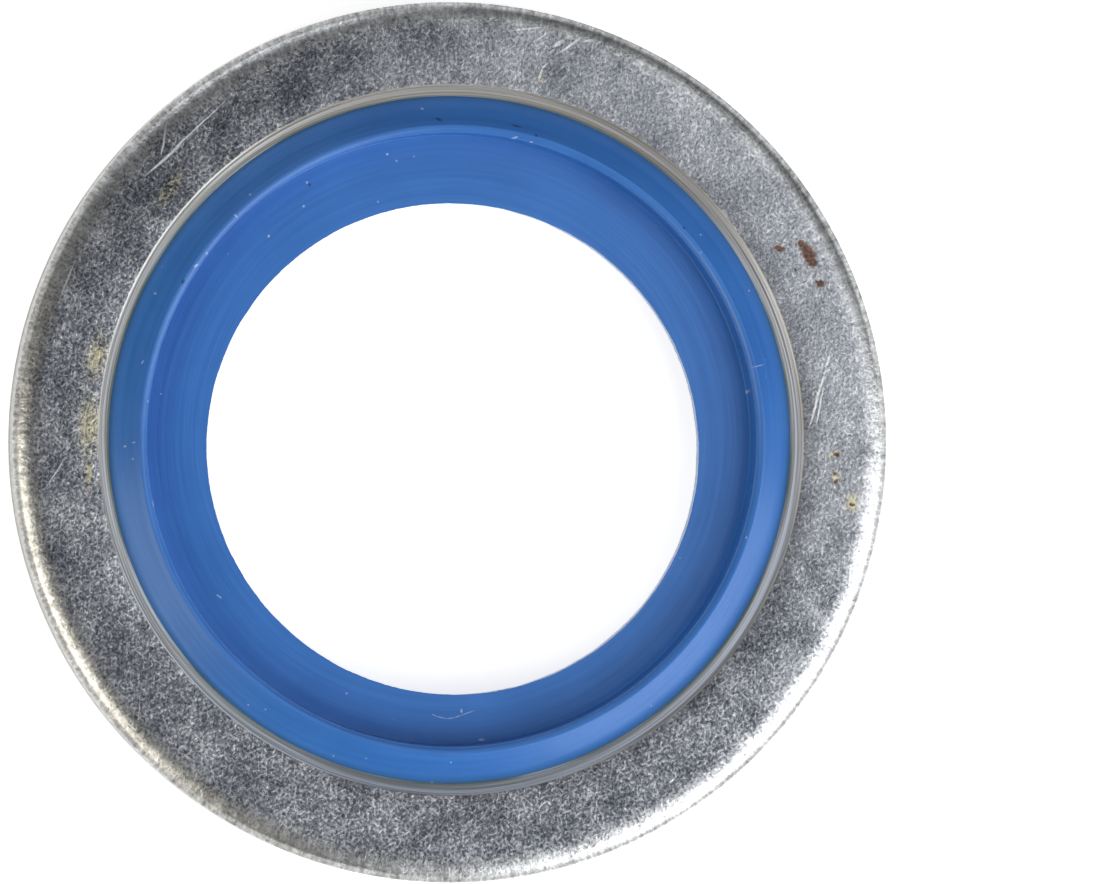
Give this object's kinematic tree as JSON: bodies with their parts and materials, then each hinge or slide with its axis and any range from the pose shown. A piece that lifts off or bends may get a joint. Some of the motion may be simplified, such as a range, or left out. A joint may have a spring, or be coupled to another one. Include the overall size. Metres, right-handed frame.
{
  "type": "bonded sealing washer",
  "caption": "Flat metal ring with a blue elastomer seal bonded into its bore: a raised lip on each face and a thin centring web with a trimmed hole.",
  "frame": {"origin": "on the ring's axis at half the ring's thickness", "axes": "+Z along the ring's axis, towards the rolled-over rim; X and Y in the plane of the ring, with the trimmed hole off centre towards +X and -Y"},
  "size_m": [0.018, 0.018, 0.002],
  "materials": {
    "zinc_plated_steel": "matt zinc plate with a fine bright speckle, a few brown rust spots and faint scratches",
    "blue_elastomer": "moulded, softly glossy, with fine concentric mould lines and dust"
  },
  "bodies": {
    "root": {"metal_ring": "zinc_plated_steel", "rubber_seal": "blue_elastomer"}
  },
  "joints": []
}
